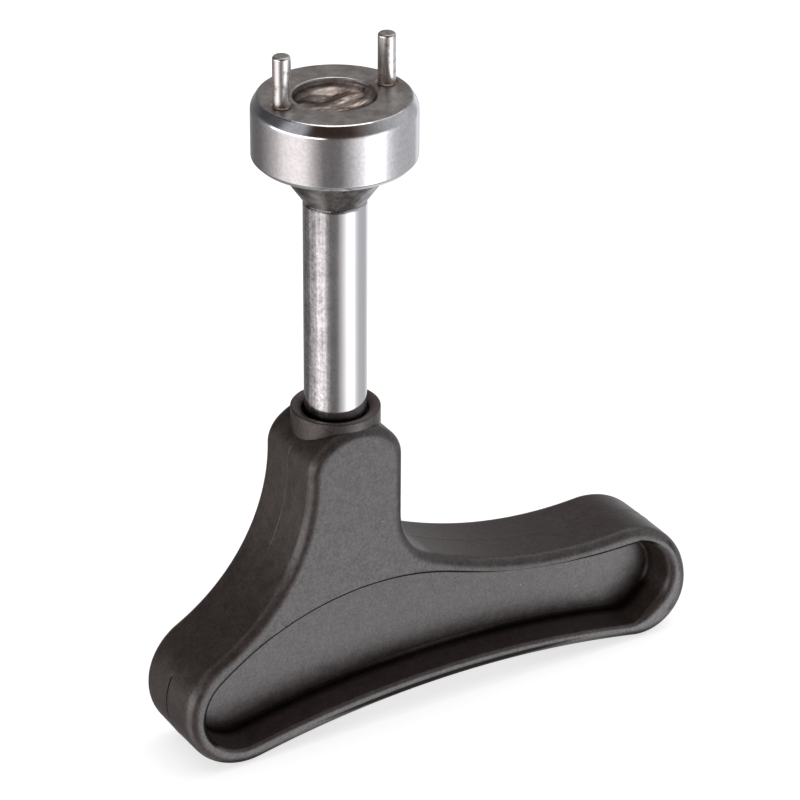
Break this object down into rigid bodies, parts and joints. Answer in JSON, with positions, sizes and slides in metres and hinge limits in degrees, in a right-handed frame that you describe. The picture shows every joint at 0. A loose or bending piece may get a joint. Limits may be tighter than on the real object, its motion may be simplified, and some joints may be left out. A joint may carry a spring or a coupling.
{
  "type": "pin face wrench",
  "caption": "Hand wrench with an offset moulded handle, a plated shaft and a round driver head whose pins turn slotted or drilled backs, caps and nuts.",
  "frame": {"origin": "centre of the flat drive face on the shaft's axis", "axes": "+Z along the shaft out of the drive face, +X along the handle's long arm, +Y across the handle's thickness"},
  "size_m": [0.0772, 0.0206, 0.0945],
  "materials": {
    "handle_plastic": "fine grained, warm grey-black",
    "plated_shaft": "bright plating with small pits",
    "plated_head": "worn plating over turned steel",
    "steel_pin": "plated, slightly dulled"
  },
  "bodies": {
    "root": {"handle": "handle_plastic", "shaft": "plated_shaft", "driver_head": "plated_head", "drive_pin_left": "steel_pin", "drive_pin_right": "steel_pin"}
  },
  "joints": []
}
